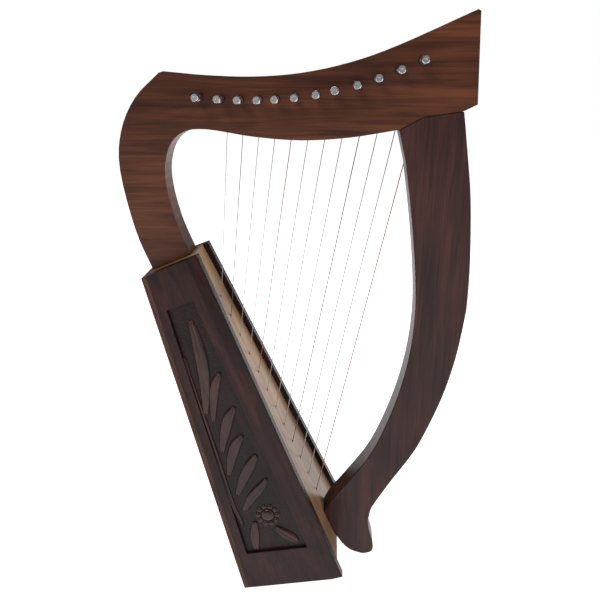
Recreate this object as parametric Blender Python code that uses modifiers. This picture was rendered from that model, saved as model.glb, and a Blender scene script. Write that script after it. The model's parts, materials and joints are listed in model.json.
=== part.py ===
"""Twelve-string lap harp, modelled the way it is built.

A plank neck runs into a shoulder arm, a bowed pillar stands in front of it,
and both are tied together by a tapering soundbox. The box is made of two carved
side boards, a sunk soundboard, a back panel and two end blocks. Every string is
knotted behind the soundboard, runs over a bridge pin and winds on a tuning pin
that turns in the neck.

World frame: X to the right (towards the pillar), Y away from the player's left
hand side, Z up. The origin lies on the floor, under the middle of the harp.
"""

import math

import bmesh
import bpy
from mathutils import Matrix, Vector

MM = 0.001
GAP = 0.3 * MM                    # air between neighbouring pieces

# Neck and pillar
FRAME_THICKNESS = 23.0 * MM
EDGE_CHAMFER = 1.2 * MM
CURVE_STEPS = 4                   # straight runs per span of an outline

NECK_TOP = [(-109.0, 491.0), (-74.0, 487.9), (-35.0, 486.7), (3.6, 489.4),
            (41.7, 496.9), (78.8, 509.0), (138.5, 534.0)]
NECK_TIP = [(140.6, 532.8), (145.1, 465.0)]
NECK_JOINT = [(134.9, 460.1), (102.8, 455.5), (83.0, 445.4)]
NECK_UNDERSIDE = [(83.0, 445.4), (43.3, 439.2), (3.6, 436.9), (-36.6, 439.7), (-76.0, 445.7),
                  (-97.0, 443.2), (-110.0, 429.5), (-114.6, 404.0), (-108.5, 369.0)]
ARM_OUTSIDE = [(-145.6, 359.3), (-153.7, 412.0), (-149.0, 444.5), (-134.6, 470.5), (-113.0, 489.8)]
PILLAR_INSIDE = [(83.6, 445.0), (90.6, 418.6), (99.4, 365.5), (106.1, 308.3), (107.0, 267.6),
                 (102.4, 224.6), (91.5, 178.9), (73.5, 130.3), (49.0, 91.4), (33.2, 69.0)]
PILLAR_TOE = [(46.0, 13.6), (55.5, 4.1), (66.5, 0.0)]
PILLAR_TOE_TIP = [(73.0, 0.0), (78.6, 2.6), (80.4, 9.2), (78.6, 19.5), (75.1, 32.2), (73.6, 44.0)]
PILLAR_OUTSIDE = [(73.6, 44.0), (75.9, 58.9), (82.1, 72.2), (96.3, 98.2), (111.1, 123.3),
                  (122.7, 147.6), (138.5, 193.8), (148.1, 237.1), (152.8, 278.0), (153.6, 297.6),
                  (152.2, 335.3), (147.3, 388.3), (140.4, 429.6), (134.9, 459.8)]

ARM_FRONT_MARGIN = 9.8 * MM       # of the box's top end left free before the arm
ARM_BACK_MARGIN = 6.5 * MM        # and behind it
TENON_WIDTH = 22.0 * MM
TENON_THICKNESS = 12.0 * MM
TENON_LENGTH = 24.0 * MM

JOINT_DOWEL_RADIUS = 4.0 * MM
JOINT_DOWEL_LENGTH = 26.0 * MM
JOINT_DOWEL_X = (109.0 * MM, 126.0 * MM)
DOWEL_SIDES = 12

# Soundbox. Its own frame runs down along the front edges of the side boards.
BOX_LEAN = 22.7                   # degrees from upright
BOX_TOP_X = -88.0 * MM            # upper front edge
FRONT_LENGTH = 347.4 * MM
TOP_DEPTH = 55.3 * MM
BACK_FLARE = 7.66                 # degrees by which the back leaves the front
BASE_TILT = 11.1                  # degrees by which the base leaves square
TOP_HALF_WIDTH = 29.0 * MM
BASE_HALF_WIDTH = 66.0 * MM
SIDE_THICKNESS = 10.0 * MM
FACET_WIDTH = 11.0 * MM           # slanted strip along the side boards' front
FACET_DROP = 1.8 * MM
BACK_THICKNESS = 5.0 * MM
SOUNDBOARD_THICKNESS = 3.0 * MM
SOUNDBOARD_SUNK = 5.2 * MM        # below the front edges
TOP_BLOCK_LENGTH = 46.0 * MM
BASE_BLOCK_LENGTH = 22.0 * MM
RIB_WIDTH = 16.0 * MM
RIB_THICKNESS = 5.0 * MM
ACCESS_HOLES = ((102.0 * MM, 14.0 * MM), (177.0 * MM, 19.0 * MM), (256.0 * MM, 25.0 * MM))
ACCESS_SIDES = 32

# Sunk field that carries the carving on each side board
FIELD_DEPTH = 3.0 * MM
FIELD_TOP_MARGIN = 35.0 * MM
FIELD_FRONT_MARGIN = 20.0 * MM
FIELD_BACK_MARGIN = 13.5 * MM
FIELD_BASE_MARGIN = 40.0 * MM

FOOT_DOWEL_RADIUS = 4.0 * MM
FOOT_DOWEL_ABOVE = 9.0 * MM       # into the foot of the pillar
FOOT_DOWEL_BELOW = 14.0 * MM      # into the base block
FOOT_DOWEL_PLACE = 331.0 * MM
FOOT_SEAT_TOP = 307.7 * MM        # stretch of the soundboard that the foot rests on
FOOT_SEAT_END = 339.0 * MM

# Strings, with the shortest first
STRING_COUNT = 12
FIRST_HOLE = 49.0 * MM
HOLE_PITCH = 21.57 * MM
STRING_HOLE_RADIUS = 1.4 * MM
FIRST_DIAMETER = 0.60 * MM
DIAMETER_GROWTH = 0.035 * MM
KNOT_RADIUS = 1.8 * MM
KNOT_LENGTH = 3.4 * MM
KNOT_SHAPE = ((1.0, 0.4), (0.8, 0.9), (0.5, 1.0), (0.2, 0.9))   # shares of length and radius
STRING_OFFSET = 6.5 * MM          # from the neck's far face to the plane of the strings

# Tuning pins, spread along the neck under its top edge
TUNING_PIN_X = (-80.5, -63.0, -47.0, -31.5, -17.5, -2.0, 15.0, 30.0, 47.5, 64.0, 81.0, 98.5)
PIN_BELOW_TOP = 17.4 * MM
PIN_BELOW_GROWTH = 0.15 * MM
PIN_RADIUS = 3.1 * MM
PIN_SIDES = 16
BORE_CLEARANCE = 0.25 * MM
DRIVE_LENGTH = 19.3 * MM          # proud of the near face
DRIVE_FLATS = 5.5 * MM            # across the four key flats
FLAT_LENGTH = 9.0 * MM
FLAT_WIDTH = 4.0 * MM
DIMPLE_RADIUS = 1.0 * MM
TAIL_LENGTH = 16.5 * MM           # proud of the far face
PIN_CHAMFER = 0.5 * MM
EYE_RADIUS = 0.85 * MM

# Bridge pins, a handspan of even steps that widen towards the long strings
FIRST_BRIDGE_X = -65.5 * MM
BRIDGE_PITCH = 14.0 * MM
BRIDGE_PITCH_GROWTH = 0.12 * MM
BRIDGE_BELOW_PIN = 21.0 * MM
BRIDGE_RADIUS = 1.5 * MM
BRIDGE_COLLAR_RADIUS = 2.2 * MM
BRIDGE_PROUD = 8.6 * MM
BRIDGE_SEAT = 10.0 * MM
BRIDGE_GROOVE_WIDTH = 2.4 * MM
BRIDGE_SIDES = 12

# Windings on the tuning pins
TURNS = 3
POINTS_PER_TURN = 14
TURN_GAP = 0.5 * MM
LEAD_LENGTH = 3.4 * MM
TAIL_STUB = 1.6 * MM
CLIMB_STEPS = 4                   # last steps, in which the winding climbs to the eye
EYE_FROM_STRING = 6.4 * MM


def clear_scene():
    for obj in list(bpy.data.objects):
        bpy.data.objects.remove(obj, do_unlink=True)


def make_collection(name):
    collection = bpy.data.collections.new(name)
    bpy.context.scene.collection.children.link(collection)
    return collection


clear_scene()
PARTS = make_collection("lap_harp")
CUTTERS = make_collection("cutters")


def make_material(name, colour, roughness, metallic=0.0):
    material = bpy.data.materials.new(name)
    material.use_nodes = True
    shader = material.node_tree.nodes["Principled BSDF"]
    shader.inputs["Base Color"].default_value = (*colour, 1.0)
    shader.inputs["Roughness"].default_value = roughness
    shader.inputs["Metallic"].default_value = metallic
    material.diffuse_color = (*colour, 1.0)
    return material


NECK_WOOD = make_material("neck_rosewood", (0.12, 0.045, 0.020), 0.35)
PILLAR_WOOD = make_material("pillar_rosewood", (0.055, 0.026, 0.022), 0.35)
SIDE_WOOD = make_material("side_rosewood", (0.060, 0.024, 0.017), 0.40)
INNER_WOOD = make_material("inner_hardwood", (0.30, 0.17, 0.09), 0.60)
SOUNDBOARD_WOOD = make_material("soundboard_spruce", (0.45, 0.28, 0.15), 0.40)
PIN_STEEL = make_material("pin_steel", (0.65, 0.65, 0.66), 0.20, 1.0)
CLEAR_NYLON = make_material("clear_nylon", (0.75, 0.74, 0.70), 0.30)
RED_NYLON = make_material("red_nylon", (0.35, 0.03, 0.03), 0.30)
BLACK_NYLON = make_material("black_nylon", (0.03, 0.03, 0.05), 0.30)


def add_object(name, mesh, material, parent=None, matrix=None, collection=PARTS):
    obj = bpy.data.objects.new(name, mesh)
    collection.objects.link(obj)
    if material is not None and not mesh.materials:
        mesh.materials.append(material)
    obj.parent = parent
    if matrix is not None:
        obj.matrix_local = matrix
    return obj


def add_cutter(name, mesh, parent=None, matrix=None):
    cutter = add_object(name, mesh, None, parent, matrix, CUTTERS)
    cutter.hide_render = True
    cutter.display_type = "WIRE"
    return cutter


def add_boolean(obj, operand, operation="DIFFERENCE"):
    modifier = obj.modifiers.new(operand.name, "BOOLEAN")
    modifier.operation = operation
    modifier.solver = "EXACT"
    modifier.object = operand
    return modifier


def in_metres(points):
    return [(x * MM, y * MM) for x, y in points]


def smooth_run(points, steps=CURVE_STEPS):
    """Points on a smooth curve through the given ones, both ends included."""
    ends = [2 * Vector(points[0]) - Vector(points[1])]
    ends += [Vector(point) for point in points]
    ends.append(2 * Vector(points[-1]) - Vector(points[-2]))
    run = []
    for index in range(1, len(ends) - 2):
        before, start, end, after = ends[index - 1:index + 3]
        for step in range(steps):
            t = step / steps
            point = (2 * start + (end - before) * t
                     + (2 * before - 5 * start + 4 * end - after) * t ** 2
                     + (3 * start - before - 3 * end + after) * t ** 3) / 2
            run.append(tuple(point))
    run.append(tuple(points[-1]))
    return run


def height_on(run, x):
    """Height of a left-to-right run of points at x."""
    for (x0, z0), (x1, z1) in zip(run, run[1:]):
        if x0 <= x <= x1:
            return z0 + (z1 - z0) * (x - x0) / (x1 - x0)
    raise ValueError("x lies beyond the run")


def weld(mesh):
    shape = bmesh.new()
    shape.from_mesh(mesh)
    bmesh.ops.remove_doubles(shape, verts=shape.verts, dist=0.00001)
    bmesh.ops.recalc_face_normals(shape, faces=shape.faces)
    shape.to_mesh(mesh)
    shape.free()
    return mesh


def evaluated_mesh(obj):
    """Mesh of an object as its modifiers leave it, in its own frame."""
    bpy.context.view_layer.update()
    evaluated = obj.evaluated_get(bpy.context.evaluated_depsgraph_get())
    return bpy.data.meshes.new_from_object(evaluated)


def board_mesh(name, outline, thickness):
    """Flat board in the XY plane, its thickness centred on Z."""
    curve = bpy.data.curves.new(name, "CURVE")
    curve.dimensions = "2D"
    curve.fill_mode = "BOTH"
    curve.extrude = thickness / 2
    spline = curve.splines.new("POLY")
    spline.points.add(len(outline) - 1)
    for point, (x, y) in zip(spline.points, outline):
        point.co = (x, y, 0.0, 1.0)
    spline.use_cyclic_u = True
    guide = bpy.data.objects.new(name + "_outline", curve)
    CUTTERS.objects.link(guide)
    mesh = weld(evaluated_mesh(guide))
    mesh.name = name
    bpy.data.objects.remove(guide, do_unlink=True)
    bpy.data.curves.remove(curve)
    return mesh


def tube_mesh(name, points, diameter, swell=()):
    """Round cord along the points, closed at both ends; swell holds its first points' radii."""
    curve = bpy.data.curves.new(name, "CURVE")
    curve.dimensions = "3D"
    curve.bevel_depth = diameter / 2
    curve.bevel_resolution = 1
    curve.use_fill_caps = True
    spline = curve.splines.new("POLY")
    spline.points.add(len(points) - 1)
    for point, position in zip(spline.points, points):
        point.co = (*position, 1.0)
    for point, radius in zip(spline.points, swell):
        point.radius = radius / curve.bevel_depth
    guide = bpy.data.objects.new(name + "_path", curve)
    CUTTERS.objects.link(guide)
    mesh = weld(evaluated_mesh(guide))
    mesh.name = name
    bpy.data.objects.remove(guide, do_unlink=True)
    bpy.data.curves.remove(curve)
    shade_round(mesh)
    return mesh


def turned_mesh(name, profile, sides):
    """Solid turned about Z from (radius, height) pairs, listed top to bottom."""
    mesh = bpy.data.meshes.new(name + "_profile")
    vertices = [(radius, 0.0, height) for radius, height in profile]
    mesh.from_pydata(vertices, [(i, i + 1) for i in range(len(vertices) - 1)], [])
    guide = bpy.data.objects.new(name + "_profile", mesh)
    CUTTERS.objects.link(guide)
    screw = guide.modifiers.new("turn", "SCREW")
    screw.steps = screw.render_steps = sides
    screw.use_merge_vertices = True
    screw.merge_threshold = 0.00001
    solid = weld(evaluated_mesh(guide))
    solid.name = name
    bpy.data.objects.remove(guide, do_unlink=True)
    bpy.data.meshes.remove(mesh)
    return solid


def rod_mesh(name, rods, sides):
    """One mesh of straight round rods, each given by centre, axis, radius and length."""
    shape = bmesh.new()
    for centre, axis, radius, length in rods:
        turn = Vector((0.0, 0.0, 1.0)).rotation_difference(Vector(axis)).to_matrix().to_4x4()
        bmesh.ops.create_cone(shape, cap_ends=True, segments=sides, radius1=radius, radius2=radius,
                              depth=length, matrix=Matrix.Translation(centre) @ turn)
    mesh = bpy.data.meshes.new(name)
    shape.to_mesh(mesh)
    shape.free()
    return mesh


def shade_round(mesh, angle=35.0):
    mesh.shade_smooth()
    mesh.set_sharp_from_angle(angle=math.radians(angle))


def add_chamfer(obj, width):
    bevel = obj.modifiers.new("eased_edges", "BEVEL")
    bevel.width = width
    bevel.segments = 1
    bevel.limit_method = "ANGLE"
    bevel.angle_limit = math.radians(50)


# Frames that the pieces are placed in. The harp's plane has its own X to the right,
# Y up and Z towards the viewer. The soundbox has X down its front, Z out of its front.
LEAN = math.radians(BOX_LEAN)
BACK_SLOPE = math.tan(math.radians(BACK_FLARE))
BASE_SLOPE = math.tan(math.radians(BASE_TILT))
WIDTH_SLOPE = (BASE_HALF_WIDTH - TOP_HALF_WIDTH) / FRONT_LENGTH
BASE_DEPTH = (TOP_DEPTH + BACK_SLOPE * FRONT_LENGTH) / (1 + BACK_SLOPE * BASE_SLOPE)
BACK_LENGTH = FRONT_LENGTH - BASE_DEPTH * BASE_SLOPE
BOX_TOP_Z = BACK_LENGTH * math.cos(LEAN) + BASE_DEPTH * math.sin(LEAN)

HARP_PLANE = bpy.data.objects.new("harp_plane", None)
HARP_PLANE.rotation_euler = (math.pi / 2, 0.0, 0.0)
PARTS.objects.link(HARP_PLANE)

SOUNDBOX = bpy.data.objects.new("soundbox", None)
SOUNDBOX.location = (BOX_TOP_X, 0.0, BOX_TOP_Z)
SOUNDBOX.rotation_euler = (0.0, math.pi / 2 - LEAN, 0.0)
PARTS.objects.link(SOUNDBOX)

UPRIGHT = Matrix.Rotation(math.pi / 2, 4, "X")
PLANE_TO_WORLD = Matrix.Rotation(math.pi / 2, 4, "X")
BOX_TO_WORLD = (Matrix.Translation((BOX_TOP_X, 0.0, BOX_TOP_Z))
                @ Matrix.Rotation(math.pi / 2 - LEAN, 4, "Y"))
BOX_TO_PLANE = PLANE_TO_WORLD.inverted() @ BOX_TO_WORLD

HALF_FRAME = FRAME_THICKNESS / 2
STRING_PLANE = -(HALF_FRAME + STRING_OFFSET)
EYE_HEIGHT = STRING_PLANE - EYE_FROM_STRING
ACROSS = (0.0, 0.0, 1.0)
SOUNDBOARD_BACK = SOUNDBOARD_SUNK + SOUNDBOARD_THICKNESS


def on_plane(along, depth):
    """Point of the box's middle section, as (x, z) in the harp's plane."""
    point = BOX_TO_PLANE @ Vector((along, 0.0, -depth))
    return (point.x, point.y)


def half_width(along):
    return TOP_HALF_WIDTH + WIDTH_SLOPE * along


def inner_half_width(along):
    return half_width(along) - SIDE_THICKNESS


def back_depth(along):
    return TOP_DEPTH + BACK_SLOPE * along


def back_panel_front(along):
    """Depth of the back panel's inner face."""
    return back_depth(along) - BACK_THICKNESS / math.cos(math.radians(BACK_FLARE))


def base_at(depth):
    """Distance down the box to its base, at a depth behind the front."""
    return FRONT_LENGTH - depth * BASE_SLOPE


def meet_base(depth_along, inset=0.0):
    """Corner where a depth line, a function of the distance down, meets the base."""
    along = FRONT_LENGTH
    for _ in range(30):
        along = base_at(depth_along(along)) - inset
    return (along, -depth_along(along))


# Neck and pillar

def neck_outline():
    arm_front = on_plane(-GAP, ARM_FRONT_MARGIN)
    arm_back = on_plane(-GAP, TOP_DEPTH - ARM_BACK_MARGIN)
    outline = smooth_run(in_metres(NECK_TOP))
    outline += in_metres(NECK_TIP + NECK_JOINT[:-1])
    outline += smooth_run(in_metres(NECK_UNDERSIDE) + [arm_front])
    outline += smooth_run([arm_back] + in_metres(ARM_OUTSIDE))
    return outline


def pillar_outline():
    seat = SOUNDBOARD_SUNK - GAP
    seat_top = on_plane(FOOT_SEAT_TOP, seat)
    seat_end = on_plane(FOOT_SEAT_END, seat)
    outline = [(x * MM, z * MM - GAP) for x, z in reversed(NECK_JOINT[:-1])]
    outline.insert(0, (PILLAR_INSIDE[0][0] * MM, NECK_JOINT[-1][1] * MM - GAP))
    inside = smooth_run(in_metres(PILLAR_INSIDE[1:]) + [seat_top])
    toe = smooth_run([seat_end] + in_metres(PILLAR_TOE), 2)
    tip = smooth_run(in_metres(PILLAR_TOE_TIP), 2)
    outside = smooth_run(in_metres(PILLAR_OUTSIDE[:-1]) + [outline[-1]])
    return inside + toe + tip[:-1] + outside[:-1] + outline[::-1]


def joint_dowels():
    """Centres and axis of the dowels between neck and pillar, in the harp's plane."""
    right, left = (Vector(point) for point in in_metres(NECK_JOINT[:2]))
    slope = (right - left).normalized()
    axis = (-slope.y, slope.x, 0.0)
    places = []
    for x in JOINT_DOWEL_X:
        height = left.y + slope.y / slope.x * (x - left.x)
        places.append(((x, height, 0.0), axis))
    return places


def tenon_section(extra=0.0):
    """Tenon under the arm, as (along, height) in the soundbox's frame."""
    middle = (ARM_FRONT_MARGIN + TOP_DEPTH - ARM_BACK_MARGIN) / 2
    half = TENON_WIDTH / 2 + extra
    end = TENON_LENGTH + extra
    root = -2.0 * MM
    return [(root, -middle - half), (end, -middle - half), (end, -middle + half),
            (root, -middle + half)]


def make_neck(pins, bridges):
    neck = add_object("neck", board_mesh("neck", neck_outline(), FRAME_THICKNESS), NECK_WOOD,
                      HARP_PLANE)
    add_chamfer(neck, EDGE_CHAMFER)
    tenon = add_cutter("neck_tenon", board_mesh("neck_tenon", tenon_section(), TENON_THICKNESS),
                       SOUNDBOX, UPRIGHT)
    add_boolean(neck, tenon, "UNION")
    bores = [((x, z, 0.0), ACROSS, PIN_RADIUS + BORE_CLEARANCE, FRAME_THICKNESS * 2)
             for x, z in pins]
    add_boolean(neck, add_cutter("tuning_pin_bores", rod_mesh("pin_bores", bores, PIN_SIDES),
                                 HARP_PLANE))
    depth = BRIDGE_SEAT + GAP
    seats = [((x, z, -HALF_FRAME), ACROSS, BRIDGE_RADIUS + GAP, 2 * depth) for x, z in bridges]
    add_boolean(neck, add_cutter("bridge_pin_seats", rod_mesh("bridge_seats", seats, BRIDGE_SIDES),
                                 HARP_PLANE))
    add_boolean(neck, bpy.data.objects["joint_dowel_sockets"])
    shade_round(neck.data)


def make_pillar():
    pillar = add_object("pillar", board_mesh("pillar", pillar_outline(), FRAME_THICKNESS),
                        PILLAR_WOOD, HARP_PLANE)
    add_chamfer(pillar, EDGE_CHAMFER)
    add_boolean(pillar, bpy.data.objects["joint_dowel_sockets"])
    add_boolean(pillar, bpy.data.objects["foot_dowel_socket"])
    shade_round(pillar.data)


def make_dowels():
    for number, (centre, axis) in enumerate(joint_dowels(), 1):
        rod = [(centre, axis, JOINT_DOWEL_RADIUS, JOINT_DOWEL_LENGTH)]
        name = "neck_dowel_%d" % number
        add_object(name, rod_mesh(name, rod, DOWEL_SIDES), INNER_WOOD, HARP_PLANE)
    sockets = [(centre, axis, JOINT_DOWEL_RADIUS + GAP, JOINT_DOWEL_LENGTH + 2 * GAP)
               for centre, axis in joint_dowels()]
    add_cutter("joint_dowel_sockets", rod_mesh("joint_dowel_sockets", sockets, DOWEL_SIDES),
               HARP_PLANE)
    length = FOOT_DOWEL_ABOVE + FOOT_DOWEL_BELOW
    centre = (FOOT_DOWEL_PLACE, 0.0, -SOUNDBOARD_SUNK + (FOOT_DOWEL_ABOVE - FOOT_DOWEL_BELOW) / 2)
    rod = [(centre, ACROSS, FOOT_DOWEL_RADIUS, length)]
    socket = [(centre, ACROSS, FOOT_DOWEL_RADIUS + GAP, length + 2 * GAP)]
    add_object("foot_dowel", rod_mesh("foot_dowel", rod, DOWEL_SIDES), INNER_WOOD, SOUNDBOX)
    add_cutter("foot_dowel_socket", rod_mesh("foot_dowel_socket", socket, DOWEL_SIDES), SOUNDBOX)


# Soundbox

def sheared_board(name, outline, thickness, lateral):
    """Board whose outline is (along, height), moved sideways by a function of along."""
    mesh = board_mesh(name, outline, thickness)
    for vertex in mesh.vertices:
        vertex.co.z += lateral(vertex.co.x)
    return weld(mesh)


def spanning_board(name, outline, half_span):
    """Board between two walls: both ends of its width follow half_span(along)."""
    mesh = board_mesh(name, outline, 1.0)
    for vertex in mesh.vertices:
        side = 1.0 if vertex.co.z > 0 else -1.0
        vertex.co.z = side * half_span(vertex.co.x)
    return weld(mesh)


def facet_mesh(name, side):
    """Wedge that slants a side board's outer face towards its front edge."""
    reach = 1.0 * MM
    drop = FACET_DROP * (FACET_WIDTH + reach) / FACET_WIDTH
    clear = 3.0 * MM
    section = [(-FACET_WIDTH, 0.0), (reach, -drop), (reach, clear), (-FACET_WIDTH, clear)]
    mesh = board_mesh(name, section, FRONT_LENGTH + 20.0 * MM)
    for vertex in mesh.vertices:
        along = vertex.co.z + FRONT_LENGTH / 2
        height, out = vertex.co.x, vertex.co.y
        vertex.co = (along, height, side * (half_width(along) + out))
    return weld(mesh)


def field_outline():
    """Sunk field of the carving, as (along, height)."""
    def inner_back(along):
        return back_depth(along) - FIELD_BACK_MARGIN

    front_end = (base_at(FIELD_FRONT_MARGIN) - FIELD_BASE_MARGIN, -FIELD_FRONT_MARGIN)
    back_end = meet_base(inner_back, FIELD_BASE_MARGIN)
    return [(FIELD_TOP_MARGIN, -FIELD_FRONT_MARGIN), front_end, back_end,
            (FIELD_TOP_MARGIN, -inner_back(FIELD_TOP_MARGIN))]


def side_outline():
    def seat(along):
        return back_panel_front(along) - GAP

    return [(0.0, 0.0), (FRONT_LENGTH, 0.0), meet_base(seat), (0.0, -seat(0.0))]


def make_side_board(name, side):
    """Side board; side is +1 for the near board, at -Y, and -1 for the far one."""
    mesh = sheared_board(name, side_outline(), SIDE_THICKNESS,
                         lambda along: side * (half_width(along) - SIDE_THICKNESS / 2))
    board = add_object(name, mesh, SIDE_WOOD, SOUNDBOX, UPRIGHT)
    facet = add_cutter(name + "_facet", facet_mesh(name + "_facet", side), SOUNDBOX, UPRIGHT)
    add_boolean(board, facet)
    clear = 3.0 * MM
    middle = (clear - FIELD_DEPTH) / 2
    field = sheared_board(name + "_field", field_outline(), FIELD_DEPTH + clear,
                          lambda along: side * (half_width(along) + middle))
    add_boolean(board, add_cutter(name + "_field", field, SOUNDBOX, UPRIGHT))


def make_soundboard(holes):
    front, back = SOUNDBOARD_SUNK, SOUNDBOARD_BACK
    outline = [(0.0, -front), (base_at(front), -front), (base_at(back), -back), (0.0, -back)]
    mesh = spanning_board("soundboard", outline, lambda along: inner_half_width(along) - GAP)
    board = add_object("soundboard", mesh, SOUNDBOARD_WOOD, SOUNDBOX, UPRIGHT)
    add_boolean(board, holes)
    add_boolean(board, bpy.data.objects["foot_dowel_socket"])


def make_back_panel():
    outline = [(0.0, -back_panel_front(0.0)), meet_base(back_panel_front),
               (BACK_LENGTH, -BASE_DEPTH), (0.0, -TOP_DEPTH)]
    panel = add_object("back_panel", spanning_board("back_panel", outline, half_width),
                       SIDE_WOOD, SOUNDBOX, UPRIGHT)
    tilt = Vector((BACK_SLOPE, 0.0, 1.0)).normalized()
    rods = [(Vector((along, 0.0, -back_depth(along))), tilt, radius, 4 * BACK_THICKNESS)
            for along, radius in ACCESS_HOLES]
    add_boolean(panel, add_cutter("access_holes", rod_mesh("access_holes", rods, ACCESS_SIDES),
                                  SOUNDBOX))


def make_blocks():
    front = SOUNDBOARD_BACK + GAP

    def back(along):
        return back_panel_front(along) - GAP

    def half_span(along):
        return inner_half_width(along) - GAP

    outline = [(0.0, -front), (TOP_BLOCK_LENGTH, -front),
               (TOP_BLOCK_LENGTH, -back(TOP_BLOCK_LENGTH)), (0.0, -back(0.0))]
    top = add_object("top_block", spanning_board("top_block", outline, half_span), INNER_WOOD,
                     SOUNDBOX, UPRIGHT)
    mortise = board_mesh("mortise", tenon_section(GAP), TENON_THICKNESS + 2 * GAP)
    add_boolean(top, add_cutter("mortise", mortise, SOUNDBOX, UPRIGHT))
    outline = [(base_at(front) - BASE_BLOCK_LENGTH, -front), (base_at(front), -front),
               meet_base(back), meet_base(back, BASE_BLOCK_LENGTH)]
    base = add_object("base_block", spanning_board("base_block", outline, half_span), INNER_WOOD,
                      SOUNDBOX, UPRIGHT)
    add_boolean(base, bpy.data.objects["foot_dowel_socket"])


def hollow_end(depth):
    """Distance down to the base block's upper face, less a gap."""
    return base_at(depth) - BASE_BLOCK_LENGTH - GAP


def make_string_rib(holes):
    start = TOP_BLOCK_LENGTH + GAP
    front = SOUNDBOARD_BACK + GAP
    back = front + RIB_THICKNESS
    outline = [(start, -front), (hollow_end(front), -front), (hollow_end(back), -back),
               (start, -back)]
    rib = add_object("string_rib", board_mesh("string_rib", outline, RIB_WIDTH), INNER_WOOD,
                     SOUNDBOX, UPRIGHT)
    add_boolean(rib, holes)


# Strings and the pins that hold them

def string_diameter(index):
    return FIRST_DIAMETER + DIAMETER_GROWTH * index


def hole_place(index):
    return FIRST_HOLE + HOLE_PITCH * index


def pin_places():
    edge = smooth_run(in_metres(NECK_TOP))
    return [(x * MM, height_on(edge, x * MM) - PIN_BELOW_TOP - PIN_BELOW_GROWTH * index)
            for index, x in enumerate(TUNING_PIN_X)]


def bridge_places(pins):
    return [(FIRST_BRIDGE_X + BRIDGE_PITCH * index + BRIDGE_PITCH_GROWTH * index ** 2,
             pins[index][1] - BRIDGE_BELOW_PIN) for index in range(STRING_COUNT)]


def winding_radius(index):
    return PIN_RADIUS + GAP + string_diameter(index) / 2


def right_tangent(near, near_radius, far, far_radius):
    """Angle of the normal of the line that passes right of two circles, going up."""
    way = Vector(far) - Vector(near)
    lean = math.asin((near_radius - far_radius) / way.length)
    return math.atan2(way.y, way.x) - math.pi / 2 + lean


def ring_point(centre, radius, angle):
    return (centre[0] + radius * math.cos(angle), centre[1] + radius * math.sin(angle))


def string_route(index, pin, bridge):
    """Points of one string in the harp's plane, its knot first, and where it meets its pin."""
    radius = string_diameter(index) / 2
    hole = hole_place(index)
    rib_back = SOUNDBOARD_BACK + GAP + RIB_THICKNESS
    depths = [rib_back + GAP + KNOT_LENGTH * share for share, _ in KNOT_SHAPE]
    depths += [rib_back + GAP, SOUNDBOARD_SUNK - 0.4 * MM]
    points = [tuple(BOX_TO_PLANE @ Vector((hole, 0.0, -depth))) for depth in depths]
    mouth = points[-1]
    bend = BRIDGE_RADIUS + GAP + radius
    coil = winding_radius(index)
    below = right_tangent(mouth[:2], 0.0, bridge, bend)
    above = right_tangent(bridge, bend, pin, coil)
    for step in range(4):
        angle = below + (above - below) * step / 3
        points.append((*ring_point(bridge, bend, angle), STRING_PLANE))
    touch = Vector(ring_point(pin, coil, above))
    back = Vector((math.sin(above), -math.cos(above))) * (LEAD_LENGTH + GAP)
    points.append((*(touch + back), STRING_PLANE))
    return points, above


def string_material(index):
    """Every C string is red and every F string is black."""
    return RED_NYLON if index % 7 == 4 else BLACK_NYLON if index % 7 == 1 else CLEAR_NYLON


def make_string(index, pin, bridge):
    name = "string_%02d" % (index + 1)
    points, angle = string_route(index, pin, bridge)
    knot = [KNOT_RADIUS * share for _, share in KNOT_SHAPE]
    add_object(name, tube_mesh(name, points, string_diameter(index), knot),
               string_material(index), HARP_PLANE)
    return angle


def winding_points(index):
    """Winding in its pin's frame: the string arrives at angle 0 and ends through the eye."""
    radius = winding_radius(index)
    pitch = string_diameter(index) + TURN_GAP
    steps = TURNS * POINTS_PER_TURN
    wound = steps - CLIMB_STEPS
    last = STRING_PLANE - pitch * wound / POINTS_PER_TURN
    points = [(radius, -LEAD_LENGTH, STRING_PLANE)]
    for step in range(steps + 1):
        angle = 2 * math.pi * step / POINTS_PER_TURN
        height = STRING_PLANE - pitch * step / POINTS_PER_TURN
        if step > wound:
            height = last + (EYE_HEIGHT - last) * (step - wound) / CLIMB_STEPS
        points.append((radius * math.cos(angle), radius * math.sin(angle), height))
    points.append((-(radius + TAIL_STUB), 0.0, EYE_HEIGHT))
    return points


def least_gap(points, diameter):
    """Least distance between stretches of a winding that aren't neighbours, less its width."""
    apart = POINTS_PER_TURN // 2
    least = min((Vector(a) - Vector(b)).length for i, a in enumerate(points)
                for b in points[i + apart:])
    return least - diameter


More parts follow.
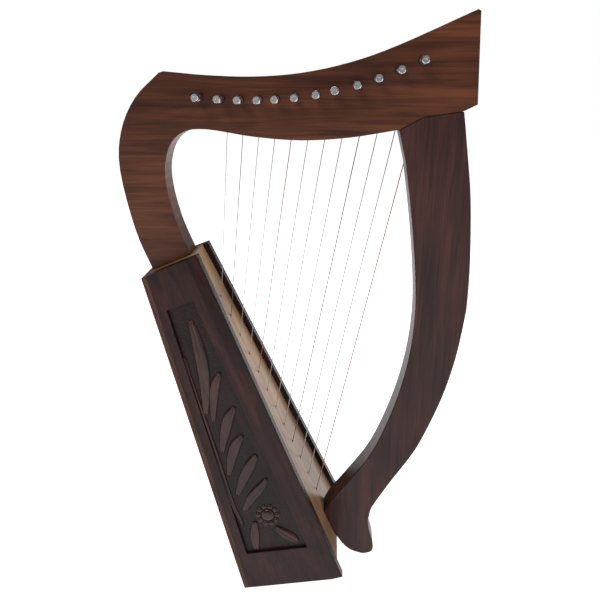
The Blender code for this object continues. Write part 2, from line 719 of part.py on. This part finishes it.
def tuning_pin_mesh():
    """Pin along Z, its drive end up, its eye across X near its lower end."""
    top = HALF_FRAME + DRIVE_LENGTH
    bottom = -(HALF_FRAME + TAIL_LENGTH)
    profile = [(0.0, top - DIMPLE_RADIUS), (DIMPLE_RADIUS, top), (PIN_RADIUS - PIN_CHAMFER, top),
               (PIN_RADIUS, top - PIN_CHAMFER), (PIN_RADIUS, bottom + PIN_CHAMFER),
               (PIN_RADIUS - PIN_CHAMFER, bottom), (0.0, bottom)]
    blank = add_object("tuning_pin_blank", turned_mesh("tuning_pin_blank", profile, PIN_SIDES),
                       PIN_STEEL, None, None, CUTTERS)
    flats = bpy.data.meshes.new("drive_flats")
    shape = bmesh.new()
    cut = 2.0 * MM
    for quarter in range(4):
        centre = Vector(((DRIVE_FLATS + cut) / 2, 0.0, top - FLAT_LENGTH / 2 + cut / 2))
        turn = Matrix.Rotation(quarter * math.pi / 2, 4, "Z")
        size = Matrix.Diagonal((cut, FLAT_WIDTH, FLAT_LENGTH + cut, 1.0))
        bmesh.ops.create_cube(shape, size=1.0, matrix=turn @ Matrix.Translation(centre) @ size)
    shape.to_mesh(flats)
    shape.free()
    add_boolean(blank, add_cutter("drive_flats", flats))
    eye = [((0.0, 0.0, EYE_HEIGHT), (1.0, 0.0, 0.0), EYE_RADIUS, PIN_RADIUS * 4)]
    add_boolean(blank, add_cutter("pin_eye", rod_mesh("pin_eye", eye, 8)))
    mesh = weld(evaluated_mesh(blank))
    mesh.name = "tuning_pin"
    for scrap in ("tuning_pin_blank", "drive_flats", "pin_eye"):
        bpy.data.objects.remove(bpy.data.objects[scrap], do_unlink=True)
    shade_round(mesh)
    return mesh


def make_tuning_pins(pins, angles):
    mesh = tuning_pin_mesh()
    least = []
    for index, (pin, angle) in enumerate(zip(pins, angles)):
        number = "%02d" % (index + 1)
        place = Matrix.Translation((*pin, 0.0)) @ Matrix.Rotation(angle, 4, "Z")
        add_object("tuning_pin_" + number, mesh, PIN_STEEL, HARP_PLANE, place)
        points = winding_points(index)
        name = "winding_" + number
        least.append(least_gap(points, string_diameter(index)))
        add_object(name, tube_mesh(name, points, string_diameter(index)), string_material(index),
                   HARP_PLANE, place)
    print("least gap of a winding to itself: %.2f mm" % (min(least) / MM))


def make_bridge_pins(bridges):
    """Grooved pins in the far face of the neck, one under each string."""
    groove = STRING_OFFSET
    half = BRIDGE_GROOVE_WIDTH / 2
    profile = [(0.0, BRIDGE_PROUD), (BRIDGE_COLLAR_RADIUS, BRIDGE_PROUD),
               (BRIDGE_COLLAR_RADIUS, groove + half), (BRIDGE_RADIUS, groove + half - 0.4 * MM),
               (BRIDGE_RADIUS, groove - half + 0.4 * MM), (BRIDGE_COLLAR_RADIUS, groove - half),
               (BRIDGE_COLLAR_RADIUS, GAP), (BRIDGE_RADIUS, GAP),
               (BRIDGE_RADIUS, -BRIDGE_SEAT), (0.0, -BRIDGE_SEAT)]
    mesh = turned_mesh("bridge_pin", profile, BRIDGE_SIDES)
    shade_round(mesh)
    facing_back = Matrix.Rotation(math.pi, 4, "X")
    for index, (x, z) in enumerate(bridges):
        place = Matrix.Translation((x, z, -HALF_FRAME)) @ facing_back
        add_object("bridge_pin_%02d" % (index + 1), mesh, PIN_STEEL, HARP_PLANE, place)


def make_string_holes():
    rods = [((hole_place(index), 0.0, -SOUNDBOARD_BACK), (0.0, 0.0, 1.0), STRING_HOLE_RADIUS,
             30.0 * MM) for index in range(STRING_COUNT)]
    return add_cutter("string_holes", rod_mesh("string_holes", rods, 10), SOUNDBOX)


def main():
    pins = pin_places()
    bridges = bridge_places(pins)
    make_dowels()
    make_neck(pins, bridges)
    make_pillar()
    holes = make_string_holes()
    make_side_board("side_board_near", 1.0)
    make_side_board("side_board_far", -1.0)
    make_soundboard(holes)
    make_back_panel()
    make_blocks()
    make_string_rib(holes)
    angles = [make_string(index, pins[index], bridges[index]) for index in range(STRING_COUNT)]
    make_tuning_pins(pins, angles)
    make_bridge_pins(bridges)
    bpy.context.view_layer.update()


main()
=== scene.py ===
"""Looks of a twelve-string lap harp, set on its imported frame.

The frame keeps its own shapes and gets procedural wood, steel and nylon. Two carved
reliefs lie in the sunk fields of the soundbox's side boards. A floor, three soft
lights and a white world make the studio.
"""
import json
import math

import bmesh
import bpy
from mathutils import Matrix, Vector


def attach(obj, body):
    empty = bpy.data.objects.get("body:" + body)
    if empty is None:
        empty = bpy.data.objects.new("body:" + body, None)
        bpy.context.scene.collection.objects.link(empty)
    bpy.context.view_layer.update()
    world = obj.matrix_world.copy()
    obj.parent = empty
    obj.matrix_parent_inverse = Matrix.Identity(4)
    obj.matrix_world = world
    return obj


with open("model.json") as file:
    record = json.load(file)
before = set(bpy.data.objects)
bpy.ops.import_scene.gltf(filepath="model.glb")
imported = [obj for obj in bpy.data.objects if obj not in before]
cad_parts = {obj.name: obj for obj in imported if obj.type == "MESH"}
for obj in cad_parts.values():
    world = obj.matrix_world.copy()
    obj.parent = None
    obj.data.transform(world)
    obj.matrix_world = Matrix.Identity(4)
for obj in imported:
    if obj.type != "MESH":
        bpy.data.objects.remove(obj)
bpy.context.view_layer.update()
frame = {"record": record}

MM = 0.001
BODY = "harp"

# Camera, from a fit to the photograph: angles in degrees, lens and sensor in mm
CAMERA_PLACE = Vector((27.92, -501.33, 478.39)) * MM
CAMERA_YAW = 3.088
CAMERA_PITCH = 20.493
CAMERA_ROLL = -0.169
CAMERA_LENS = 34.14
SENSOR_WIDTH = 36.0

# Soundbox, in the sizes that the frame was built with
BOX_LEAN = math.radians(22.7)
BOX_LENGTH = 347.4 * MM
TOP_HALF_WIDTH = 29.0 * MM
BASE_HALF_WIDTH = 66.0 * MM
WIDTH_SLOPE = (BASE_HALF_WIDTH - TOP_HALF_WIDTH) / BOX_LENGTH
FIELD_DEPTH = 3.0 * MM
BOX_TOP = Vector((-88.0, 0.0, 340.85)) * MM     # middle of its upper front edge
BOX_TURN = Matrix.Rotation(math.pi / 2 - BOX_LEAN, 4, "Y")
BOX_TO_WORLD = Matrix.Translation(BOX_TOP) @ BOX_TURN


def make_camera():
    data = bpy.data.cameras.new("camera")
    data.lens = CAMERA_LENS
    data.sensor_width = SENSOR_WIDTH
    camera = bpy.data.objects.new("camera", data)
    turn = (Matrix.Rotation(math.radians(CAMERA_YAW), 4, "Z")
            @ Matrix.Rotation(math.radians(90.0 - CAMERA_PITCH), 4, "X")
            @ Matrix.Rotation(math.radians(CAMERA_ROLL), 4, "Z"))
    camera.matrix_world = Matrix.Translation(CAMERA_PLACE) @ turn
    bpy.context.scene.collection.objects.link(camera)
    bpy.context.scene.camera = camera


make_camera()


# Materials
FINE_DETAIL = 3.0


class Nodes:
    """Short ways to build one material's node tree."""

    def __init__(self, name, roughness, metallic=0.0):
        self.material = bpy.data.materials.new(name)
        self.material.use_nodes = True
        self.tree = self.material.node_tree
        self.shader = self.tree.nodes["Principled BSDF"]
        self.set_shader("Roughness", roughness)
        self.set_shader("Metallic", metallic)
        self.coordinates = self.tree.nodes.new("ShaderNodeTexCoord").outputs["Object"]

    def link(self, start, end):
        self.tree.links.new(start, end)

    def set_shader(self, socket, value):
        self.shader.inputs[socket].default_value = value

    def mapped(self, source, rotation=(0, 0, 0), scale=(1, 1, 1), location=(0, 0, 0)):
        node = self.tree.nodes.new("ShaderNodeMapping")
        node.inputs["Rotation"].default_value = rotation
        node.inputs["Scale"].default_value = scale
        node.inputs["Location"].default_value = location
        self.link(source, node.inputs["Vector"])
        return node.outputs["Vector"]

    def noise(self, source, scale, detail, distortion=0.0):
        node = self.tree.nodes.new("ShaderNodeTexNoise")
        node.inputs["Scale"].default_value = scale
        node.inputs["Detail"].default_value = detail
        node.inputs["Distortion"].default_value = distortion
        self.link(source, node.inputs["Vector"])
        return node.outputs["Fac"]

    def fine_noise(self, source, stretch):
        return self.noise(self.mapped(source, scale=stretch), 1.0, FINE_DETAIL)

    def ramp(self, source, stops):
        node = self.tree.nodes.new("ShaderNodeValToRGB")
        elements = node.color_ramp.elements
        while len(elements) < len(stops):
            elements.new(0.5)
        for element, (place, colour) in zip(elements, stops):
            element.position = place
            element.color = (*colour, 1.0)
        self.link(source, node.inputs["Fac"])
        return node.outputs["Color"]

    def multiply(self, amount, first, second):
        node = self.tree.nodes.new("ShaderNodeMix")
        node.data_type = "RGBA"
        node.blend_type = "MULTIPLY"
        node.inputs["Factor"].default_value = amount
        self.link(first, node.inputs["A"])
        self.link(second, node.inputs["B"])
        return node.outputs["Result"]

    def maths(self, operation, *values):
        node = self.tree.nodes.new("ShaderNodeMath")
        node.operation = operation
        for value, socket in zip(values, node.inputs):
            if isinstance(value, float):
                socket.default_value = value
            else:
                self.link(value, socket)
        return node.outputs["Value"]

    def bump(self, height, strength, distance):
        node = self.tree.nodes.new("ShaderNodeBump")
        node.inputs["Strength"].default_value = strength
        node.inputs["Distance"].default_value = distance
        self.link(height, node.inputs["Height"])
        self.link(node.outputs["Normal"], self.shader.inputs["Normal"])


# Ways that the grain runs
LEVEL_GRAIN = (0.0, 0.0, 0.0)
UPRIGHT_GRAIN = (0.0, math.pi / 2, 0.0)
BOX_GRAIN = (0.0, BOX_LEAN - math.pi / 2, 0.0)

# Wood: scales are per metre, stops are places on a ramp, shades multiply the base
GRAIN_SCALE = (1.0, 14.0, 14.0)
STREAK_SCALE = 9.0
STREAK_DETAIL = 9.0
STREAK_DISTORTION = 0.8
STREAK_STOPS = (0.30, 0.52, 0.74)
PATCH_SCALE = 11.0
PATCH_DETAIL = 2.0
PATCH_SHADES = ((0.35, (0.68, 0.64, 0.62)), (0.65, (1.15, 1.12, 1.08)))
PORE_SCALE = (18.0, 900.0, 900.0)
PORE_SHADES = ((0.38, (0.62, 0.58, 0.56)), (0.48, (1.0, 1.0, 1.0)))
PORE_AMOUNT = 0.8
PUNCH_SCALE = 620.0
# painted shade: the colour of the sunk field darkens towards the deepest part of each punch
# dent
PUNCH_PAINTED_SHADE = ((0.0, (1.0, 1.0, 1.0)), (0.5, (0.45, 0.42, 0.42)))
PUNCH_DEPTH = 6.0
VARNISH_ROUGHNESS = 0.42
VARNISH_COAT = 0.06
COAT_ROUGHNESS = 0.14
WOOD_SPECULAR = 0.2
WOOD_BUMP = 0.25
WOOD_RELIEF = 0.2 * MM


def punches_in_field(nodes):
    """Punch marks, kept to surfaces that lie deeper than half the sunk field; their depth
    dents the surface and darkens its colour as painted shade.
    """
    origin = -(BOX_TURN.inverted() @ BOX_TOP)
    box = nodes.mapped(nodes.coordinates, rotation=BOX_GRAIN, location=origin)
    split = nodes.tree.nodes.new("ShaderNodeSeparateXYZ")
    nodes.link(box, split.inputs["Vector"])
    level = nodes.maths("MULTIPLY_ADD", split.outputs["X"], WIDTH_SLOPE,
                        TOP_HALF_WIDTH - FIELD_DEPTH / 2)
    inside = nodes.maths("LESS_THAN", nodes.maths("ABSOLUTE", split.outputs["Y"]), level)
    dots = nodes.tree.nodes.new("ShaderNodeTexVoronoi")
    dots.inputs["Scale"].default_value = PUNCH_SCALE
    nodes.link(nodes.coordinates, dots.inputs["Vector"])
    return nodes.maths("MULTIPLY", dots.outputs["Distance"], inside)


def wood(name, tones, grain, roughness=VARNISH_ROUGHNESS, coat=VARNISH_COAT, punched=False):
    """Wood with streaks, patches and fine pores along its grain; tones run dark to light."""
    nodes = Nodes(name, roughness)
    turned = nodes.mapped(nodes.coordinates, rotation=grain)
    stretched = nodes.mapped(turned, scale=GRAIN_SCALE)
    streaks = nodes.noise(stretched, STREAK_SCALE, STREAK_DETAIL, STREAK_DISTORTION)
    base = nodes.ramp(streaks, tuple(zip(STREAK_STOPS, tones)))
    patches = nodes.noise(turned, PATCH_SCALE, PATCH_DETAIL)
    base = nodes.multiply(1.0, base, nodes.ramp(patches, PATCH_SHADES))
    pores = nodes.fine_noise(turned, PORE_SCALE)
    colour = nodes.multiply(PORE_AMOUNT, base, nodes.ramp(pores, PORE_SHADES))
    height = pores
    if punched:
        punches = punches_in_field(nodes)
        # painted shade in the sunk field, darkest where the punch dents lie lowest
        colour = nodes.multiply(1.0, colour, nodes.ramp(punches, PUNCH_PAINTED_SHADE))
        height = nodes.maths("SUBTRACT", pores, nodes.maths("MULTIPLY", punches, PUNCH_DEPTH))
    nodes.link(colour, nodes.shader.inputs["Base Color"])
    nodes.set_shader("Coat Weight", coat)
    nodes.set_shader("Coat Roughness", COAT_ROUGHNESS)
    nodes.set_shader("Specular IOR Level", WOOD_SPECULAR)
    nodes.bump(height, WOOD_BUMP, WOOD_RELIEF)
    return nodes.material


STEEL_ROUGHNESS = 0.22
SCRATCH_SCALE = (2200.0, 160.0, 2200.0)
STEEL_SHADES = ((0.3, (0.52, 0.52, 0.54)), (0.7, (0.80, 0.80, 0.81)))
STEEL_BUMP = 0.15
STEEL_RELIEF = 0.05 * MM


def steel(name):
    """Bright steel with fine scratches along the pins."""
    nodes = Nodes(name, STEEL_ROUGHNESS, metallic=1.0)
    scratches = nodes.fine_noise(nodes.coordinates, SCRATCH_SCALE)
    nodes.link(nodes.ramp(scratches, STEEL_SHADES), nodes.shader.inputs["Base Color"])
    nodes.bump(scratches, STEEL_BUMP, STEEL_RELIEF)
    return nodes.material


NYLON_ROUGHNESS = 0.25
NYLON_SCALE = (900.0, 900.0, 60.0)
NYLON_STOPS = (0.3, 0.7)
NYLON_CLEARNESS = 0.1
NYLON_BUMP = 0.1
NYLON_RELIEF = 0.03 * MM


def nylon(name, tones):
    """Slightly clear nylon, faintly clouded between its two tones."""
    nodes = Nodes(name, NYLON_ROUGHNESS)
    cloud = nodes.fine_noise(nodes.coordinates, NYLON_SCALE)
    colour = nodes.ramp(cloud, tuple(zip(NYLON_STOPS, tones)))
    nodes.link(colour, nodes.shader.inputs["Base Color"])
    nodes.set_shader("Transmission Weight", NYLON_CLEARNESS)
    nodes.bump(cloud, NYLON_BUMP, NYLON_RELIEF)
    return nodes.material


NECK_TONES = ((0.034, 0.009, 0.004), (0.075, 0.022, 0.009), (0.120, 0.038, 0.014))
PILLAR_TONES = ((0.022, 0.007, 0.006), (0.040, 0.013, 0.011), (0.062, 0.021, 0.017))
SIDE_TONES = ((0.010, 0.003, 0.003), (0.024, 0.007, 0.006), (0.042, 0.012, 0.008))
BACK_TONES = ((0.030, 0.012, 0.008), (0.075, 0.028, 0.018), (0.120, 0.050, 0.030))
CARVED_TONES = ((0.018, 0.006, 0.005), (0.038, 0.013, 0.010), (0.060, 0.021, 0.015))
INNER_TONES = ((0.20, 0.11, 0.06), (0.30, 0.17, 0.09), (0.40, 0.24, 0.13))
SPRUCE_TONES = ((0.22, 0.12, 0.06), (0.34, 0.20, 0.11), (0.45, 0.29, 0.17))

BACK_WOOD = wood("back_varnish", BACK_TONES, BOX_GRAIN)
CARVED_WOOD = wood("carved_varnish", CARVED_TONES, BOX_GRAIN, roughness=0.30, coat=0.25)

# Finish of each material slot of the frame
LOOKS = {
    "neck_rosewood": wood("neck_varnish", NECK_TONES, LEVEL_GRAIN),
    "pillar_rosewood": wood("pillar_varnish", PILLAR_TONES, UPRIGHT_GRAIN),
    "side_rosewood": wood("side_varnish", SIDE_TONES, BOX_GRAIN, roughness=0.40, punched=True),
    "inner_hardwood": wood("inner_wood", INNER_TONES, BOX_GRAIN, roughness=0.60, coat=0.0),
    "soundboard_spruce": wood("soundboard_varnish", SPRUCE_TONES, BOX_GRAIN, roughness=0.40,
                              coat=0.15),
    "pin_steel": steel("pin_steel_worn"),
    "clear_nylon": nylon("nylon_clear", ((0.26, 0.26, 0.25), (0.44, 0.43, 0.41))),
    "red_nylon": nylon("nylon_red", ((0.25, 0.02, 0.02), (0.42, 0.05, 0.04))),
    "black_nylon": nylon("nylon_black", ((0.015, 0.015, 0.03), (0.05, 0.05, 0.08))),
}


def dress_frame():
    for entry in frame["record"]["subparts"]:
        node = entry["node"]
        look = BACK_WOOD if node == "back_panel" else LOOKS[entry["material_slot"]]
        materials = bpy.data.objects[node].data.materials
        materials.clear()
        materials.append(look)


dress_frame()


# Carving on the side boards: leaves are ridged lofts on the floor of the sunk field.
# Each has its half width and its spine, as (down the box, out of its front), in mm.
LEAVES = {
    "stem": (3.2, ((82, -52), (112, -57), (150, -62), (190, -67), (232, -72), (262, -72))),
    "top_leaf": (6.0, ((52, -31), (72, -34), (94, -39), (118, -47), (141, -57))),
    "lobe_1": (4.6, ((107, -27), (114, -34), (128, -43), (150, -53))),
    "lobe_2": (5.4, ((143, -28), (150, -37), (163, -47), (182, -59))),
    "lobe_3": (5.4, ((172, -33), (178, -42), (190, -52), (207, -63))),
    "lobe_4": (5.4, ((195, -29), (203, -38), (214, -50), (229, -64))),
    "lobe_5": (5.0, ((222, -29), (229, -39), (236, -51), (247, -65))),
    "right_leaf": (5.0, ((296, -27), (290, -31), (282, -37), (274, -42))),
    "base_leaf": (5.0, ((292, -70), (283, -68), (272, -64), (262, -59))),
}
LEAF_LIFT = 2.4 * MM
LEAF_STEPS = 5
LEAF_ENDS = 0.08                  # share of the swell that is cut off at either end
LEAF_FULLNESS = 0.7
LEAST_LIFT = 0.55                 # share of the lift that doesn't follow the swell

# Section of a leaf: share of its half width, share of its lift
LEAF_SECTION = ((-1.0, -0.2), (-1.0, 0.25), (-0.6, 1.0), (-0.15, 0.62), (0.0, 0.50),
                (0.15, 0.62), (0.6, 1.0), (1.0, 0.25), (1.0, -0.2))

# Rosette: places and radii in mm
ROSETTE_PLACE = (259.0, -44.0)
BUTTON_RADIUS = 6.5
BUTTON_LIFT = 2.6 * MM
PETAL_RING = 9.5
PETAL_COUNT = 10
PETAL_RADIUS = 2.7
PETAL_LIFT = 1.7 * MM
BALL_SEGMENTS = 20
BALL_RINGS = 10


def field_point(along, height, lift, side):
    """World point above the floor of a field, for distances in mm and a lift in metres."""
    out = TOP_HALF_WIDTH + WIDTH_SLOPE * along * MM - FIELD_DEPTH + lift
    return BOX_TO_WORLD @ Vector((along * MM, -side * out, height * MM))


def smooth_run(points, steps):
    """Points on a smooth curve through the given ones, both ends included."""
    ends = [2 * Vector(points[0]) - Vector(points[1])] + [Vector(p) for p in points]
    ends.append(2 * Vector(points[-1]) - Vector(points[-2]))
    run = []
    for i in range(1, len(ends) - 2):
        a, b, c, d = ends[i - 1:i + 3]
        for step in range(steps):
            t = step / steps
            run.append((2 * b + (c - a) * t + (2 * a - 5 * b + 4 * c - d) * t ** 2
                        + (3 * b - a - 3 * c + d) * t ** 3) / 2)
    run.append(Vector(points[-1]))
    return run


def finished_mesh(name, shape):
    """Mesh made of a bmesh, which is freed."""
    bmesh.ops.recalc_face_normals(shape, faces=shape.faces)
    mesh = bpy.data.meshes.new(name)
    shape.to_mesh(mesh)
    shape.free()
    return mesh


def leaf_mesh(name, width, spine, side):
    """Closed leaf with two ridges and a groove, narrower towards both ends."""
    run = smooth_run(spine, LEAF_STEPS)
    last = len(run) - 1
    shape = bmesh.new()
    rings = []
    for i, point in enumerate(run):
        way = (run[min(i + 1, last)] - run[max(i - 1, 0)]).normalized()
        normal = Vector((-way.y, way.x))
        swell = math.sin(math.pi * (LEAF_ENDS + (1 - 2 * LEAF_ENDS) * i / last))
        spread = swell ** LEAF_FULLNESS
        ring = []
        for across, lift in LEAF_SECTION:
            place = point + normal * across * width * spread
            lifted = LEAF_LIFT * lift * (LEAST_LIFT + (1 - LEAST_LIFT) * spread)
            ring.append(shape.verts.new(field_point(place.x, place.y, lifted, side)))
        rings.append(ring)
    count = len(LEAF_SECTION)
    for first, second in zip(rings, rings[1:]):
        for k in range(count):
            following = (k + 1) % count
            shape.faces.new((first[k], first[following], second[following], second[k]))
    shape.faces.new(rings[0][::-1])
    shape.faces.new(rings[-1])
    return finished_mesh(name, shape)


def rosette_mesh(name, side):
    """Domed button with a ring of petals."""
    domes = [(ROSETTE_PLACE, BUTTON_RADIUS, BUTTON_LIFT)]
    for k in range(PETAL_COUNT):
        angle = 2 * math.pi * k / PETAL_COUNT
        place = (ROSETTE_PLACE[0] + PETAL_RING * math.cos(angle),
                 ROSETTE_PLACE[1] + PETAL_RING * math.sin(angle))
        domes.append((place, PETAL_RADIUS, PETAL_LIFT))
    shape = bmesh.new()
    for (along, height), radius, lift in domes:
        ball = bmesh.ops.create_uvsphere(shape, u_segments=BALL_SEGMENTS,
                                         v_segments=BALL_RINGS, radius=1.0)
        for vertex in ball["verts"]:
            x, y, z = vertex.co
            vertex.co = field_point(along + x * radius, height + y * radius, z * lift, side)
    return finished_mesh(name, shape)


def add_piece(name, mesh, material):
    mesh.materials.append(material)
    mesh.shade_smooth()
    piece = bpy.data.objects.new(name, mesh)
    bpy.context.scene.collection.objects.link(piece)
    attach(piece, BODY)


def make_carvings():
    for side, word in ((1, "near"), (-1, "far")):
        for leaf, (width, spine) in LEAVES.items():
            name = "carved_%s_%s" % (leaf, word)
            add_piece(name, leaf_mesh(name, width, spine, side), CARVED_WOOD)
        name = "carved_rosette_" + word
        add_piece(name, rosette_mesh(name, side), CARVED_WOOD)


make_carvings()


# Studio
FLOOR_SIZE = 6.0
FLOOR_DROP = 0.2 * MM             # the harp stands at 0, so no face of it meets the floor
FLOOR_GREY = 0.93
FLOOR_GLOW = 0.94
FLOOR_ROUGHNESS = 0.9
WORLD_LIGHT = 0.16
WORLD_SEEN = 1.0
LIGHTS_AIM = Vector((0.0, 0.0, 0.27))

# Soft lights: place, size in metres, power in watts
LIGHTS = {
    "key": ((-0.9, -1.3, 1.7), 0.9, 20.0),
    "fill": ((1.4, -0.9, 0.9), 1.2, 6.0),
    "rim": ((0.6, 1.2, 1.5), 0.9, 14.0),
}


def make_floor():
    shape = bmesh.new()
    bmesh.ops.create_grid(shape, x_segments=1, y_segments=1, size=FLOOR_SIZE)
    mesh = bpy.data.meshes.new("floor")
    shape.to_mesh(mesh)
    shape.free()
    nodes = Nodes("floor_paper", FLOOR_ROUGHNESS)
    nodes.set_shader("Base Color", (FLOOR_GREY, FLOOR_GREY, FLOOR_GREY, 1.0))
    nodes.set_shader("Emission Color", (1.0, 1.0, 1.0, 1.0))
    nodes.set_shader("Emission Strength", FLOOR_GLOW)
    mesh.materials.append(nodes.material)
    floor = bpy.data.objects.new("floor", mesh)
    floor.location.z = -FLOOR_DROP
    bpy.context.scene.collection.objects.link(floor)


def make_light(name, place, size, power):
    data = bpy.data.lights.new(name, "AREA")
    data.size = size
    data.energy = power
    light = bpy.data.objects.new(name, data)
    turn = (LIGHTS_AIM - Vector(place)).to_track_quat("-Z", "Y").to_matrix().to_4x4()
    light.matrix_world = Matrix.Translation(place) @ turn
    bpy.context.scene.collection.objects.link(light)


def make_world():
    """White where the camera sees it, and a weak light elsewhere."""
    world = bpy.data.worlds.new("studio")
    world.use_nodes = True
    tree = world.node_tree
    back = tree.nodes["Background"]
    back.inputs["Color"].default_value = (1.0, 1.0, 1.0, 1.0)
    path = tree.nodes.new("ShaderNodeLightPath")
    strength = tree.nodes.new("ShaderNodeMapRange")
    strength.inputs["To Min"].default_value = WORLD_LIGHT
    strength.inputs["To Max"].default_value = WORLD_SEEN
    tree.links.new(path.outputs["Is Camera Ray"], strength.inputs["Value"])
    tree.links.new(strength.outputs["Result"], back.inputs["Strength"])
    bpy.context.scene.world = world


make_floor()
for light_name, (light_place, light_size, light_power) in LIGHTS.items():
    make_light(light_name, light_place, light_size, light_power)
make_world()
bpy.context.scene.view_settings.view_transform = "Standard"
